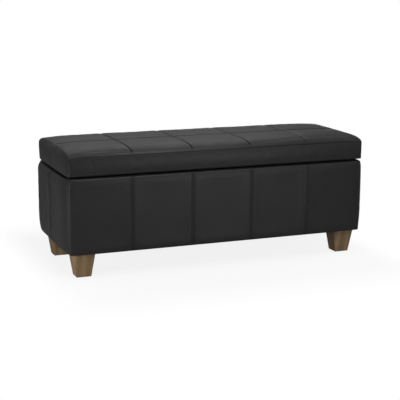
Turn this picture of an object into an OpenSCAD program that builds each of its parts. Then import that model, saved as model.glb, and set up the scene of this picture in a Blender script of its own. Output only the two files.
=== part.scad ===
// Storage bench: an upholstered box on four tapered legs, with a padded lid on
// three butt hinges and two slotted stays that stop it when it is open.
// Millimetres. +Z is up and the origin is on the floor under the bench's middle.
// +X runs along the bench, the front looks to -Y and the hinges are at +Y.

/* [Overall] */
// Length of the body between its corner seams
body_l = 1185; // [900:5:1500]
// Depth of the body between its corner seams
body_w = 444; // [400:2:560]
// Height of the upholstered body, without legs and lid
body_h = 282; // [240:2:340]
// Height of the legs, from the floor to the underside of the body
leg_h = 92; // [70:1:160]
// Height of the lid's side band
lid_h = 71.5; // [60:0.5:110]
// Open gap between the body's rim and the lid
lid_gap = 7.5; // [7:0.5:12]

/* [Panels] */
// Thickness of the walls and of the bottom
wall_t = 15; // [12:1:18]
// Thickness of the board inside the lid
lid_board_t = 15; // [12:1:20]
// Side of the square posts in the corners
post_w = 20; // [14:1:22]

/* [Upholstery] */
// Thickness of the leather
cover_t = 1.2; // [0.8:0.1:2]
// Padding with its leather on the front and ends, at the corner seams
pad_t = 10; // [7:0.5:14]
// Padding with its leather on the back
back_pad_t = 4.5; // [3.5:0.5:6]
// How far the front swells out between its corner seams
front_rise = 6.5; // [2:0.5:12]
// How far each end swells out between its corner seams
end_rise = 19; // [8:1:24]
// Round of the padded top and bottom edges of the body
edge_r = 12; // [8:1:16]
// Thickness of the fabric that lines the inside and the lid
lining_t = 1; // [0.6:0.1:1.6]
// Thickness of the dust cover under the bottom
dust_t = 1; // [0.6:0.1:1.6]

/* [Lid] */
// How far the lid stands out past the body at the front and the ends
lid_over = 1.5; // [0:0.5:5]
// How far the lid's front band swells out
lid_front_rise = 4; // [1:0.5:10]
// How far each end of the lid swells out
lid_end_rise = 10; // [4:0.5:18]
// Height of the padded seat above the seam along the lid's top edge
crown = 27; // [16:1:34]
// How far the seat drops towards its two ends
end_drop = 11; // [4:1:14]
// Round of the lid's two ends
lid_end_r = 27; // [20:1:45]
// Width of leather turned under the lid's board
turn_under = 34; // [28:1:44]

/* [Legs] */
// Side of a leg at its top
leg_top = 82; // [60:1:95]
// Side of a leg at the floor
leg_foot = 56.5; // [44:0.5:70]
// Distance from the body's corner seams in to a leg
leg_inset = 15; // [12:1:30]
// Eased edge of a leg
leg_edge_r = 2.5; // [1:0.5:5]
// Radius of the bolt that holds a leg
bolt_r = 4; // [3:0.5:5]
// Height of a leg that its bolt screws into
bolt_grip = 52; // [35:1:60]
// Radius of a floor glide
glide_r = 15; // [10:1:20]
// Height of a floor glide below its leg
glide_h = 2; // [1.5:0.5:5]

/* [Hinges] */
// Length of a hinge
hinge_l = 76; // [60:2:100]
// Distance from the body's corner seams to the middle of an end hinge
hinge_in = 192.5; // [120:2.5:260]
// Thickness of a hinge leaf
leaf_t = 1.6; // [1.2:0.1:2]
// Radius of the wood screws
screw_r = 1.75; // [1.5:0.05:2]
// Length of the screws in the back panel's edge
long_screw = 22; // [16:1:28]
// Length of the screws in the lid board and the ends
short_screw = 11; // [8:1:12]

/* [Lid stays] */
// Distance from the hinge axis to each end of a stay
stay_r = 126; // [115:1:130]
// Angle at which the stays stop the lid
open_angle = 85; // [70:1:88]
// Angle between the two ends of a closed stay, seen from the hinge axis
closed_angle = 30; // [26:1:34]
// Width of a stay's slotted arm
arm_w = 16; // [14:1:20]
// Thickness of a stay's arm
arm_t = 2.6; // [2:0.2:3.4]
// Radius of the stud that runs in the slot
stud_r = 4; // [3:0.25:4.5]
// Thickness of a stay's bracket and wall plate
plate_t = 2.5; // [2:0.1:3]
// Radius of the rubber bumpers on the rim
bumper_r = 6; // [4:0.5:7]

/* [Hidden] */
$fn = 48;

// Clearances
fit = 0.05;        // a pin, bolt or screw in its hole, on the radius
soft_gap = 0.25;   // foam to its leather
knuckle_gap = 0.3; // between neighbouring knuckles
slide_gap = 0.6;   // a stay's arm to what lies beside it
slot_gap = 0.3;    // a stay's slot to its stud
bumper_gap = 0.2;  // bumpers to the closed lid

// Heights
body_z = leg_h;
panel_z = body_z + cover_t;
floor_z = panel_z + wall_t;
rim_z = body_z + body_h;
panel_top = rim_z - cover_t;
lid_z = rim_z + lid_gap;
board_z = lid_z + cover_t;
edge_z = lid_z + lid_h;

// The body's plan: corner seams, outer faces and inner faces of its panels
seam_x = body_l / 2;
seam_y = body_w / 2;
out_x = seam_x - pad_t;
out_front = -seam_y + pad_t;
out_back = seam_y - back_pad_t;
in_x = out_x - wall_t;
in_front = out_front + wall_t;
in_back = out_back - wall_t;

// The lid's plan
lid_x = seam_x + lid_over;
lid_front = -seam_y - lid_over;
lid_back = seam_y;
board_in = 9; // the lid's leather to the edge of its board
// The lid's lining stays inside the hinges and the bumpers
lining_in = max(back_pad_t + wall_t, pad_t + wall_t / 2 + lid_over + bumper_r) + 2;

// Legs
leg_x = seam_x - leg_inset - leg_top / 2;
leg_y = seam_y - leg_inset - leg_top / 2;
leg_z = leg_h - dust_t;
glide_nail_r = 1.2;
glide_nail_l = 15;
tee_wall = 1.2;
tee_flange_r = 2.6 * bolt_r;

// Hinges: the axis lies in the gap, in the plane of the bench's back
hinge_y = seam_y;
hinge_z = rim_z + lid_gap / 2;
hinge_x = [-seam_x + hinge_in, 0, seam_x - hinge_in];
knuckle_r = lid_gap / 2 - 0.2;
pin_hole_r = knuckle_r - leaf_t;
knuckles = 5;
knuckle_l = hinge_l / knuckles;
leaf_w = back_pad_t + wall_t;
leaf_screw_y = back_pad_t + wall_t / 2;
leaf_screws = [-hinge_l / 3, 0, hinge_l / 3];
head_r = 2 * screw_r;

// Stays: the rivet and the stud lie at the same distance from the hinge axis, so
// the arm turns by half of the lid's angle and its slot slides along the stud
lined_x = in_x - lining_t;
arm_end_r = arm_w / 2;
bracket_z = lid_z - lining_t - plate_t;
rivet_z = bracket_z - arm_end_r - 2;
rivet_a = asin((hinge_z - rivet_z) / stay_r);
rivet_y = hinge_y - stay_r * cos(rivet_a);
stud_a = rivet_a + closed_angle;
stud_y = hinge_y - stay_r * cos(stud_a);
stud_z = hinge_z - stay_r * sin(stud_a);
slot_start = 2 * stay_r * sin(closed_angle / 2);
slot_end = 2 * stay_r * sin((closed_angle + open_angle) / 2);
slot_r = stud_r + slot_gap;
plate_x = lined_x - plate_t;
collar_x = plate_x - 2;
arm_x = collar_x - slide_gap;
ear_x = arm_x + slide_gap;
rivet_r = 3;
rivet_head_r = 5.5;
rivet_head_t = 1.4;
stud_head_r = 7.5;
stud_head_t = 2;
flange_l = 32;
bracket_w = 24;
plate_h = 44;
plate_w = 22;
plate_screw_z = plate_h / 2 - 7;
flange_screws = [9, 24];

// Rubber bumpers: two on the front rim and one on each end's rim
bumper_spots = [
    [-in_x + 60, (in_front + out_front) / 2],
    [in_x - 60, (in_front + out_front) / 2],
    [-(in_x + out_x) / 2, 0],
    [(in_x + out_x) / 2, 0],
];

leather = "#2e2c2d";
timber = "#b89b74";
stained = "#6f5b45";
foam = "#e8dfb8";
steel = "#a7a9ac";
black = "#1c1c1d";

// ---------- outlines ----------

// Points from a up to b along a side that swells out to its right by rise: full along
// the middle, and pulled in close to its seams
swell_n = 16;
swell_power = 5;
function swell(a, b, rise) = [
    for (i = [0 : swell_n - 1])
        let (u = -cos(180 * i / swell_n), d = b - a)
        a + d * (1 + u) / 2 + [d[1], -d[0]] / norm(d) * rise * (1 - pow(abs(u), swell_power))
];

// Points of an arc about c
arc_n = 5;
function arc(c, r, from, to) = [
    for (i = [0 : arc_n])
        let (a = from + (to - from) * i / arc_n)
        c + r * [cos(a), sin(a)]
];

// Plan of a padded form with a straight back
module swollen_plan(x, front, back, rise_front, rise_end) {
    polygon(concat(
        swell([-x, front], [x, front], rise_front),
        swell([x, front], [x, back], rise_end),
        [[x, back]],
        swell([-x, back], [-x, front], rise_end)
    ));
}

module along_x() {
    rotate([90, 0, 90]) linear_extrude(2 * body_l, center = true) children();
}

module along_y() {
    rotate([90, 0, 0]) linear_extrude(4 * body_w, center = true) children();
}

module between(z0, z1) {
    translate([0, 0, z0]) linear_extrude(z1 - z0) children();
}

module plate(x0, x1, y0, y1, z0, z1) {
    translate([x0, y0, z0]) cube([x1 - x0, y1 - y0, z1 - z0]);
}

// Section through a padded body: rounded edges on both sides
module soft_section(left, right, z0, z1, r_left, r_right) {
    polygon(concat(
        arc([left + r_left, z0 + r_left], r_left, 180, 270),
        arc([right - r_right, z0 + r_right], r_right, 270, 360),
        arc([right - r_right, z1 - r_right], r_right, 0, 90),
        arc([left + r_left, z1 - r_left], r_left, 90, 180)
    ));
}

// The upholstered body, smaller by s all round
module body_form(s) {
    back_r = back_pad_t - 1;
    intersection() {
        between(body_z + s, rim_z - s)
            swollen_plan(seam_x - s, -seam_y + s, seam_y - s, front_rise, end_rise);
        along_x()
            soft_section(
                -seam_y - front_rise - 1 + s, seam_y + 1 - s,
                body_z + s - 0.5, rim_z - s + 0.5, edge_r, back_r
            );
        along_y()
            soft_section(
                -seam_x - end_rise - 1 + s, seam_x + end_rise + 1 - s,
                body_z + s - 0.5, rim_z - s + 0.5, edge_r, edge_r
            );
    }
}

// The share of the body that belongs to one wall, cut by mitres at the corners
module front_share() {
    reach = front_rise + 20;
    between(0, rim_z + 20)
        polygon([
            [-in_x, in_front], [-out_x, out_front], [-seam_x, -seam_y],
            [-seam_x, -seam_y - reach], [seam_x, -seam_y - reach],
            [seam_x, -seam_y], [out_x, out_front], [in_x, in_front],
        ]);
}

module back_share() {
    reach = 20;
    between(0, rim_z + 20)
        polygon([
            [-in_x, in_back], [-out_x, out_back], [-seam_x, seam_y],
            [-seam_x, seam_y + reach], [seam_x, seam_y + reach],
            [seam_x, seam_y], [out_x, out_back], [in_x, in_back],
        ]);
}

module end_share(side) {
    reach = end_rise + 20;
    between(0, rim_z + 20)
        polygon([
            [side * in_x, in_front], [side * out_x, out_front], [side * seam_x, -seam_y],
            [side * (seam_x + reach), -seam_y], [side * (seam_x + reach), seam_y],
            [side * seam_x, seam_y], [side * out_x, out_back], [side * in_x, in_back],
        ]);
}

// Height of the seat over its edge seam, as a share of the crown, at t from -1 to 1
// between front and back: nearly flat, then rolled over to the seams
function rolled(t) = pow(max(0, 1 - pow(abs(t), 5.5)), 0.45);

// The padded lid, smaller by s all round
crown_n = 20;
drop_n = 8;
module lid_form(s) {
    front = lid_front - lid_front_rise - 0.5 + s;
    back = lid_back + 0.5 - s;
    low = lid_z + s;
    top = edge_z + crown - s;
    end = lid_x + lid_end_rise + 0.5 - s;
    flat = end - lid_end_r;
    intersection() {
        between(low, top + 1)
            swollen_plan(lid_x - s, lid_front + s, lid_back - s, lid_front_rise, lid_end_rise);
        along_x()
            polygon(concat(
                [[front, low - 1], [back, low - 1]],
                [for (i = [0 : crown_n])
                    let (t = cos(180 * i / crown_n))
                    [(front + back + t * (back - front)) / 2, edge_z - s + crown * rolled(t)]]
            ));
        along_y()
            polygon(concat(
                [[-end, low - 1], [end, low - 1]],
                arc([flat, top - end_drop - lid_end_r], lid_end_r, 0, 90),
                [for (i = [1 : 2 * drop_n - 1])
                    let (t = 1 - i / drop_n)
                    [t * flat, top - end_drop * pow(abs(t), 5)]],
                arc([-flat, top - end_drop - lid_end_r], lid_end_r, 90, 180)
            ));
    }
}

// ---------- the box ----------

module front_panel() {
    color(timber) plate(-out_x, out_x, out_front, in_front, floor_z, panel_top);
}

module back_panel() {
    color(timber)
        difference() {
            plate(-out_x, out_x, in_back, out_back, floor_z, panel_top);
            body_leaf_screw_holes();
        }
}

module end_panel(side) {
    color(timber)
        difference() {
            plate(min(side * in_x, side * out_x), max(side * in_x, side * out_x),
                in_front, in_back, floor_z, panel_top);
            plate_screw_holes(side);
        }
}

module left_panel() {
    end_panel(-1);
}

module right_panel() {
    end_panel(1);
}

module bottom_panel() {
    color(timber)
        difference() {
            plate(-out_x, out_x, out_front, out_back, panel_z, floor_z);
            at_legs() tee_nut_seat();
        }
}

module post(side, back) {
    x0 = side > 0 ? in_x - post_w : -in_x;
    y0 = back ? in_back - post_w : in_front;
    color(timber) plate(x0, x0 + post_w, y0, y0 + post_w, floor_z, panel_top);
}

module panel_block() {
    plate(-out_x, out_x, out_front, out_back, panel_z - 1, rim_z);
}

// Padding between a panel and its leather
module padding_shape() {
    difference() {
        body_form(cover_t + soft_gap);
        panel_block();
    }
}

// Leather over the padding, turned over the rim and under the bottom
module cover_shape() {
    difference() {
        body_form(0);
        body_form(cover_t);
        body_leaf_screw_holes();
    }
}

module front_padding() {
    color(foam) intersection() { padding_shape(); front_share(); }
}

module back_padding() {
    color(foam) intersection() { padding_shape(); back_share(); }
}

module left_padding() {
    color(foam) intersection() { padding_shape(); end_share(-1); }
}

module right_padding() {
    color(foam) intersection() { padding_shape(); end_share(1); }
}

// Leather folded in over the two corner posts beside a long wall
module post_tabs(y) {
    for (x = [-in_x, in_x - post_w])
        plate(x, x + post_w, y, y + post_w + 0.5, panel_top, rim_z);
}

module front_cover() {
    color(leather)
        union() {
            intersection() { cover_shape(); front_share(); }
            post_tabs(in_front - 0.5);
        }
}

module back_cover() {
    color(leather)
        union() {
            intersection() { cover_shape(); back_share(); }
            post_tabs(in_back - post_w);
        }
}

module left_cover() {
    color(leather) intersection() { cover_shape(); end_share(-1); }
}

module right_cover() {
    color(leather) intersection() { cover_shape(); end_share(1); }
}

// Plan of the space between the panels and round the corner posts
module inside_plan(s) {
    difference() {
        translate([-in_x + s, in_front + s]) square([2 * (in_x - s), in_back - in_front - 2 * s]);
        for (x = [-in_x, in_x - post_w - s])
            for (y = [in_front, in_back - post_w - s])
                translate([x, y]) square(post_w + s);
    }
}

module interior_lining() {
    color(black)
        difference() {
            between(floor_z, panel_top) inside_plan(0);
            between(floor_z + lining_t, rim_z) inside_plan(lining_t);
            for (side = [-1, 1]) plate_screw_holes(side);
        }
}

module dust_cover() {
    color(black)
        difference() {
            plate(-seam_x + 8, seam_x - 8, -seam_y + 8, seam_y - 8, body_z - dust_t, body_z);
            at_legs() cylinder(r = bolt_r + 0.5, h = leg_h + wall_t);
        }
}

// ---------- legs ----------

module at_legs() {
    for (x = [-leg_x, leg_x])
        for (y = [-leg_y, leg_y])
            translate([x, y, 0]) children();
}

module leg_slab(w, z) {
    for (x = [-1, 1])
        for (y = [-1, 1])
            translate([x * (w / 2 - leg_edge_r), y * (w / 2 - leg_edge_r), z])
                cylinder(r = leg_edge_r, h = 0.5, $fn = 32);
}

// Tapered square leg, bored for its bolt and for the glide's nail
module leg(side, back) {
    color(stained)
        translate([side * leg_x, back * leg_y, 0])
            difference() {
                hull() {
                    leg_slab(leg_foot, glide_h);
                    leg_slab(leg_top, leg_z - 0.5);
                }
                translate([0, 0, leg_z - bolt_grip - 1]) cylinder(r = bolt_r + fit, h = bolt_grip + 2);
                cylinder(r = glide_nail_r + fit, h = glide_h + glide_nail_l + 0.5);
            }
}

module glide(side, back) {
    color(black)
        translate([side * leg_x, back * leg_y, 0]) {
            cylinder(r = glide_r, h = glide_h);
            cylinder(r = glide_nail_r, h = glide_h + glide_nail_l);
        }
}

module leg_bolts() {
    color(steel)
        at_legs()
            translate([0, 0, leg_z - bolt_grip])
                cylinder(r = bolt_r, h = floor_z - leg_z + bolt_grip - 0.5);
}

// Room for a tee nut in the bottom panel
module tee_nut_seat() {
    translate([0, 0, panel_z - 1]) cylinder(r = bolt_r + tee_wall + 2 * fit, h = wall_t + 2);
    translate([0, 0, floor_z - tee_wall]) cylinder(r = tee_flange_r + 2 * fit, h = tee_wall + 1);
}

module tee_nuts() {
    color(steel)
        at_legs()
            difference() {
                union() {
                    translate([0, 0, panel_z + 2]) cylinder(r = bolt_r + tee_wall, h = wall_t - 2);
                    translate([0, 0, floor_z - tee_wall]) cylinder(r = tee_flange_r, h = tee_wall);
                }
                translate([0, 0, panel_z]) cylinder(r = bolt_r + fit, h = wall_t + 1);
            }
}

// ---------- hinges ----------

// Countersunk wood screw, its head's face at the origin and its point down
module wood_screw(l) {
    tip = 3;
    translate([0, 0, -leaf_t]) cylinder(r1 = screw_r, r2 = head_r, h = leaf_t);
    translate([0, 0, -l + tip]) cylinder(r = screw_r, h = l - tip - leaf_t);
    translate([0, 0, -l]) cylinder(r1 = 0.4, r2 = screw_r, h = tip);
}

// Hole for a wood screw
module screw_hole(l) {
    translate([0, 0, -leaf_t - fit])
        cylinder(r1 = screw_r + fit, r2 = head_r + 2 * fit, h = leaf_t + 2 * fit);
    translate([0, 0, -l - 0.5]) cylinder(r = screw_r + fit, h = l);
}

module at_leaf_screws(x, z) {
    for (dx = leaf_screws)
        translate([x + dx, hinge_y - leaf_screw_y, z]) children();
}

module body_leaf_screw_holes() {
    for (x = hinge_x) at_leaf_screws(x, rim_z + leaf_t) screw_hole(long_screw);
}

module lid_leaf_screw_holes() {
    for (x = hinge_x) at_leaf_screws(x, lid_z - leaf_t) mirror([0, 0, 1]) screw_hole(short_screw);
}

// Leaf of a butt hinge with its rolled knuckles. Its plate lies below the axis,
// and first is 0 or 1: the first of its knuckles
module leaf(first) {
    clear_y = knuckle_r + knuckle_gap;
    plate_z = -lid_gap / 2;
    difference() {
        union() {
            translate([-hinge_l / 2, -leaf_w, plate_z]) cube([hinge_l, leaf_w - clear_y, leaf_t]);
            for (i = [first : 2 : knuckles - 1])
                translate([-hinge_l / 2 + i * knuckle_l + knuckle_gap / 2, 0, 0]) {
                    translate([0, -clear_y - 1, plate_z])
                        cube([knuckle_l - knuckle_gap, clear_y + 1, leaf_t]);
                    rotate([0, 90, 0]) cylinder(r = knuckle_r, h = knuckle_l - knuckle_gap);
                }
        }
        rotate([0, 90, 0]) cylinder(r = pin_hole_r, h = hinge_l + 2, center = true);
    }
}

module body_leaf(x) {
    color(steel)
        difference() {
            translate([x, hinge_y, hinge_z]) leaf(0);
            at_leaf_screws(x, rim_z + leaf_t) screw_hole(long_screw);
        }
}

module lid_leaf(x) {
    color(steel)
        difference() {
            translate([x, hinge_y, hinge_z]) mirror([0, 0, 1]) leaf(1);
            at_leaf_screws(x, lid_z - leaf_t) mirror([0, 0, 1]) screw_hole(short_screw);
        }
}

module hinge_pin(x) {
    color(steel)
        translate([x, hinge_y, hinge_z])
            rotate([0, 90, 0]) cylinder(r = pin_hole_r - fit, h = hinge_l, center = true);
}

module body_leaf_screws() {
    color(steel) for (x = hinge_x) at_leaf_screws(x, rim_z + leaf_t) wood_screw(long_screw);
}

module lid_leaf_screws() {
    color(steel)
        for (x = hinge_x)
            at_leaf_screws(x, lid_z - leaf_t) mirror([0, 0, 1]) wood_screw(short_screw);
}

// ---------- lid ----------

module lid_board() {
    color(timber)
        difference() {
            plate(-lid_x + board_in, lid_x - board_in, lid_front + board_in, lid_back - cover_t - soft_gap,
                board_z, board_z + lid_board_t);
            lid_leaf_screw_holes();
            for (side = [-1, 1]) flange_screw_holes(side);
        }
}

module lid_foam() {
    color(foam)
        difference() {
            lid_form(cover_t + soft_gap);
            plate(-lid_x + board_in, lid_x - board_in, lid_front + board_in, lid_back,
                lid_z, board_z + lid_board_t);
        }
}

module lid_cover() {
    color(leather)
        difference() {
            lid_form(0);
            lid_form(cover_t);
            plate(-lid_x + turn_under, lid_x - turn_under, lid_front + turn_under, lid_back - turn_under,
                lid_z - 1, board_z + 1);
            lid_leaf_screw_holes();
        }
}

module lid_lining() {
    color(black)
        difference() {
            plate(-lid_x + lining_in, lid_x - lining_in, lid_front + lining_in, lid_back - lining_in,
                lid_z - lining_t, lid_z);
            for (side = [-1, 1]) flange_screw_holes(side);
        }
}

module rim_bumpers() {
    color(black)
        for (p = bumper_spots)
            translate([p[0], p[1], rim_z])
                cylinder(r1 = bumper_r, r2 = 0.75 * bumper_r, h = lid_gap - bumper_gap);
}

// ---------- stays ----------

// Places children with their own x axis turned to point out of the bench's side
module facing(side) {
    if (side > 0) children();
    else mirror([1, 0, 0]) children();
}

module round_x(x0, x1, y, z, r) {
    translate([x0, y, z]) rotate([0, 90, 0]) cylinder(r = r, h = x1 - x0);
}

module at_plate_screws() {
    for (dz = [-plate_screw_z, plate_screw_z])
        translate([plate_x, stud_y, stud_z + dz]) rotate([0, -90, 0]) children();
}

module plate_screw_holes(side) {
    facing(side) at_plate_screws() screw_hole(short_screw);
}

module wall_plate(side) {
    color(steel)
        facing(side)
            difference() {
                plate(plate_x, lined_x, stud_y - plate_w / 2, stud_y + plate_w / 2,
                    stud_z - plate_h / 2, stud_z + plate_h / 2);
                round_x(plate_x - 1, lined_x + 1, stud_y, stud_z, rivet_r + fit);
                at_plate_screws() screw_hole(short_screw);
            }
}

// Shouldered stud: collar against the plate, shoulder in the slot, head over the arm
module stud(side) {
    inner = arm_x - arm_t - slide_gap;
    color(steel)
        facing(side) {
            round_x(collar_x - 0.5, lined_x, stud_y, stud_z, rivet_r);
            round_x(collar_x, plate_x, stud_y, stud_z, stud_r + 3);
            round_x(inner, collar_x, stud_y, stud_z, stud_r);
            round_x(inner - stud_head_t, inner, stud_y, stud_z, stud_head_r);
        }
}

module wall_plate_screws() {
    color(steel) for (side = [-1, 1]) facing(side) at_plate_screws() wood_screw(short_screw);
}

module at_flange_screws() {
    for (dx = flange_screws)
        translate([ear_x - dx, rivet_y, bracket_z]) mirror([0, 0, 1]) children();
}

module flange_screw_holes(side) {
    facing(side) at_flange_screws() screw_hole(short_screw);
}

// Angle bracket under the lid: a flange screwed to the board and an ear for the arm
module bracket(side) {
    color(steel)
        facing(side)
            difference() {
                union() {
                    plate(ear_x - flange_l, ear_x + plate_t, rivet_y - bracket_w / 2, rivet_y + bracket_w / 2,
                        bracket_z, bracket_z + plate_t);
                    plate(ear_x, ear_x + plate_t, rivet_y - bracket_w / 2, rivet_y + bracket_w / 2,
                        rivet_z, bracket_z + plate_t);
                    round_x(ear_x, ear_x + plate_t, rivet_y, rivet_z, bracket_w / 2);
                }
                round_x(ear_x - 1, ear_x + plate_t + 1, rivet_y, rivet_z, rivet_r + fit);
                at_flange_screws() screw_hole(short_screw);
            }
}

module rivet(side) {
    inner = arm_x - arm_t - slide_gap / 2;
    outer = ear_x + plate_t + fit;
    color(steel)
        facing(side) {
            round_x(inner, outer, rivet_y, rivet_z, rivet_r);
            round_x(inner - rivet_head_t, inner, rivet_y, rivet_z, rivet_head_r);
            round_x(outer, outer + rivet_head_t, rivet_y, rivet_z, rivet_head_r);
        }
}

module bracket_screws() {
    color(steel) for (side = [-1, 1]) facing(side) at_flange_screws() wood_screw(short_screw);
}

// Slotted arm, modelled along its own length from the rivet and then turned to the stud
module arm(side) {
    arm_l = slot_end + slot_r + 4;
    turn = atan2(stud_z - rivet_z, stud_y - rivet_y);
    color(steel)
        facing(side)
            translate([arm_x - arm_t, rivet_y, rivet_z])
                rotate([turn, 0, 0])
                    rotate([90, 0, 90])
                        linear_extrude(arm_t)
                            difference() {
                                union() {
                                    circle(r = arm_end_r);
                                    translate([0, -arm_w / 2]) square([arm_l - arm_end_r, arm_w]);
                                    translate([arm_l - arm_end_r, 0]) circle(r = arm_end_r);
                                }
                                circle(r = rivet_r + fit);
                                for (d = [slot_start - slot_gap, slot_end + slot_gap])
                                    translate([d, 0]) circle(r = slot_r);
                                translate([slot_start - slot_gap, -slot_r])
                                    square([slot_end - slot_start + 2 * slot_gap, 2 * slot_r]);
                            }
}

front_panel();
back_panel();
left_panel();
right_panel();
bottom_panel();
post(-1, false);  // post_front_left
post(1, false);  // post_front_right
post(-1, true);  // post_back_left
post(1, true);  // post_back_right
front_padding();
back_padding();
left_padding();
right_padding();
front_cover();
back_cover();
left_cover();
right_cover();
interior_lining();
dust_cover();
leg(-1, -1);  // leg_front_left
leg(1, -1);  // leg_front_right
leg(-1, 1);  // leg_back_left
leg(1, 1);  // leg_back_right
glide(-1, -1);  // glide_front_left
glide(1, -1);  // glide_front_right
glide(-1, 1);  // glide_back_left
glide(1, 1);  // glide_back_right
leg_bolts();
tee_nuts();
body_leaf(hinge_x[0]);  // hinge_left_body_leaf
body_leaf(hinge_x[1]);  // hinge_centre_body_leaf
body_leaf(hinge_x[2]);  // hinge_right_body_leaf
hinge_pin(hinge_x[0]);  // hinge_left_pin
hinge_pin(hinge_x[1]);  // hinge_centre_pin
hinge_pin(hinge_x[2]);  // hinge_right_pin
body_leaf_screws();
wall_plate(-1);  // stay_left_wall_plate
wall_plate(1);  // stay_right_wall_plate
stud(-1);  // stay_left_stud
stud(1);  // stay_right_stud
wall_plate_screws();
rim_bumpers();
lid_board();
lid_foam();
lid_cover();
lid_lining();
lid_leaf(hinge_x[0]);  // hinge_left_lid_leaf
lid_leaf(hinge_x[1]);  // hinge_centre_lid_leaf
lid_leaf(hinge_x[2]);  // hinge_right_lid_leaf
lid_leaf_screws();
bracket(-1);  // stay_left_bracket
bracket(1);  // stay_right_bracket
rivet(-1);  // stay_left_rivet
rivet(1);  // stay_right_rivet
bracket_screws();
arm(-1);  // stay_left_arm
arm(1);  // stay_right_arm
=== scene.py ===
import math

import bmesh
import bpy
import numpy as np
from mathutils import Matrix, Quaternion, Vector, noise


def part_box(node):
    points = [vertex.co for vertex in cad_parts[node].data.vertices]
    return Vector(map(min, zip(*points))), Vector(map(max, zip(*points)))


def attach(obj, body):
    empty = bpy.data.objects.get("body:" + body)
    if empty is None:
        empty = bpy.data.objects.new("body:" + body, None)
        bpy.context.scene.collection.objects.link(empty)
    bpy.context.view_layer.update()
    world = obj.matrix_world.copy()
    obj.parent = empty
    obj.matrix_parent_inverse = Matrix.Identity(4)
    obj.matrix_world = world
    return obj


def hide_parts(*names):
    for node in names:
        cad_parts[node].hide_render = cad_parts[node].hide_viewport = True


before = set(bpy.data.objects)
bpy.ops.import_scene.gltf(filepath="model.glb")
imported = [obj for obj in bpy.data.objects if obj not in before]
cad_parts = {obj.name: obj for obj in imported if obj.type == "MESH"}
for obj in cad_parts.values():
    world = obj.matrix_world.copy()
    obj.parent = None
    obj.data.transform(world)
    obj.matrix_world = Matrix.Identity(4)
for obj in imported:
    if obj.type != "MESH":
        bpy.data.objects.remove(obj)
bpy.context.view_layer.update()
print("frame loaded:", len(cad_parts), "nodes")


# small helpers

def linear(hexColour):
    # sRGB hex to the linear colour that shader sockets take
    parts = [int(hexColour[i:i + 2], 16) / 255 for i in (1, 3, 5)]
    return [p / 12.92 if p <= 0.04045 else ((p + 0.055) / 1.055) ** 2.4 for p in parts] + [1.0]


def addNode(tree, kind, inputs=None, **settings):
    # one shader node: settings are its properties, inputs are constants or sockets to link, by
    # name or number (a colour Mix: factor 0, colours 6 and 7, result 2)
    node = tree.nodes.new("ShaderNode" + kind)
    for name, value in settings.items():
        setattr(node, name, value)
    for name, value in (inputs or {}).items():
        if isinstance(value, bpy.types.NodeSocket):
            tree.links.new(value, node.inputs[name])
        else:
            node.inputs[name].default_value = value
    return node


def makeMaterial(name, shaderOf, look):
    # shaderOf adds the nodes and gives the shader: place is the object's own axes in metres
    material = bpy.data.materials.new(name)
    material.use_nodes = True
    tree = material.node_tree
    tree.nodes.clear()
    shader = shaderOf(tree, addNode(tree, "TexCoord").outputs["Object"], look)
    addNode(tree, "OutputMaterial", {"Surface": shader.outputs[0]})
    return material


def makeObject(name, points, faces, materials):
    mesh = bpy.data.meshes.new(name)
    mesh.from_pydata([tuple(p) for p in points], [], [tuple(f) for f in faces])
    mesh.update()
    mesh.polygons.foreach_set("use_smooth", [True] * len(mesh.polygons))
    obj = bpy.data.objects.new(name, mesh)
    bpy.context.scene.collection.objects.link(obj)
    for material in materials:
        mesh.materials.append(material)
    return obj


def boxOf(node):
    low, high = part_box(node)
    return np.array(low), np.array(high)


def smoothStep(x, low, high):
    t = np.clip((x - low) / (high - low), 0, 1)
    return t * t * (3 - 2 * t)


def lumps(points, size, seed):
    # smooth noise from -1 to 1 with lumps of that size in metres; each seed gives other lumps
    shift = Vector((seed * 7.31, seed * 3.17, seed * 5.53))
    flat = points.reshape(-1, 3) / size
    return np.array([noise.noise(Vector(p) + shift) for p in flat]).reshape(points.shape[:-1])


def normalsOf(points):
    normal = np.cross(np.gradient(points, axis=0), np.gradient(points, axis=1))
    return normal / np.maximum(np.linalg.norm(normal, axis=-1, keepdims=True), 1e-12)


def meshLines(low, high, step, seams, offsets):
    # line positions from low to high, about step apart, with finer ones beside each seam
    fine = {round(low, 6), round(high, 6)}
    for seam in seams:
        for offset in offsets:
            for place in (seam - offset, seam + offset):
                if low + 1e-5 < place < high - 1e-5:
                    fine.add(round(place, 6))
    fine = sorted(fine)
    out = []
    for a, b in zip(fine[:-1], fine[1:]):
        parts = max(1, round((b - a) / step))
        out += [a + (b - a) * k / parts for k in range(parts)]
    return np.array(out + [high])


def fromLine(u, v, start, end):
    # distance from the line between two places
    du, dv = end[0] - start[0], end[1] - start[1]
    t = np.clip(((u - start[0]) * du + (v - start[1]) * dv) / (du * du + dv * dv), 0, 1)
    return np.hypot(u - start[0] - t * du, v - start[1] - t * dv)


def spread(values, coarseU, coarseV, u, v):
    # a field known at coarse lines, taken to finer ones
    columns = [np.interp(u, coarseU, values[:, j]) for j in range(len(coarseV))]
    first = np.stack(columns, 1)
    return np.stack([np.interp(v, coarseV, first[i]) for i in range(len(u))], 0)


# measures of the bench, from the CAD apart from pastBoard

frontCoverLow, frontCoverHigh = boxOf("front_cover")
frontPanelLow, frontPanelHigh = boxOf("front_panel")
lidCoverLow, lidCoverHigh = boxOf("lid_cover")
boardLow, boardHigh = boxOf("lid_board")
backPanelHigh = boxOf("back_panel")[1]
leftPanelLow = boxOf("left_panel")[0]

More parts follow.
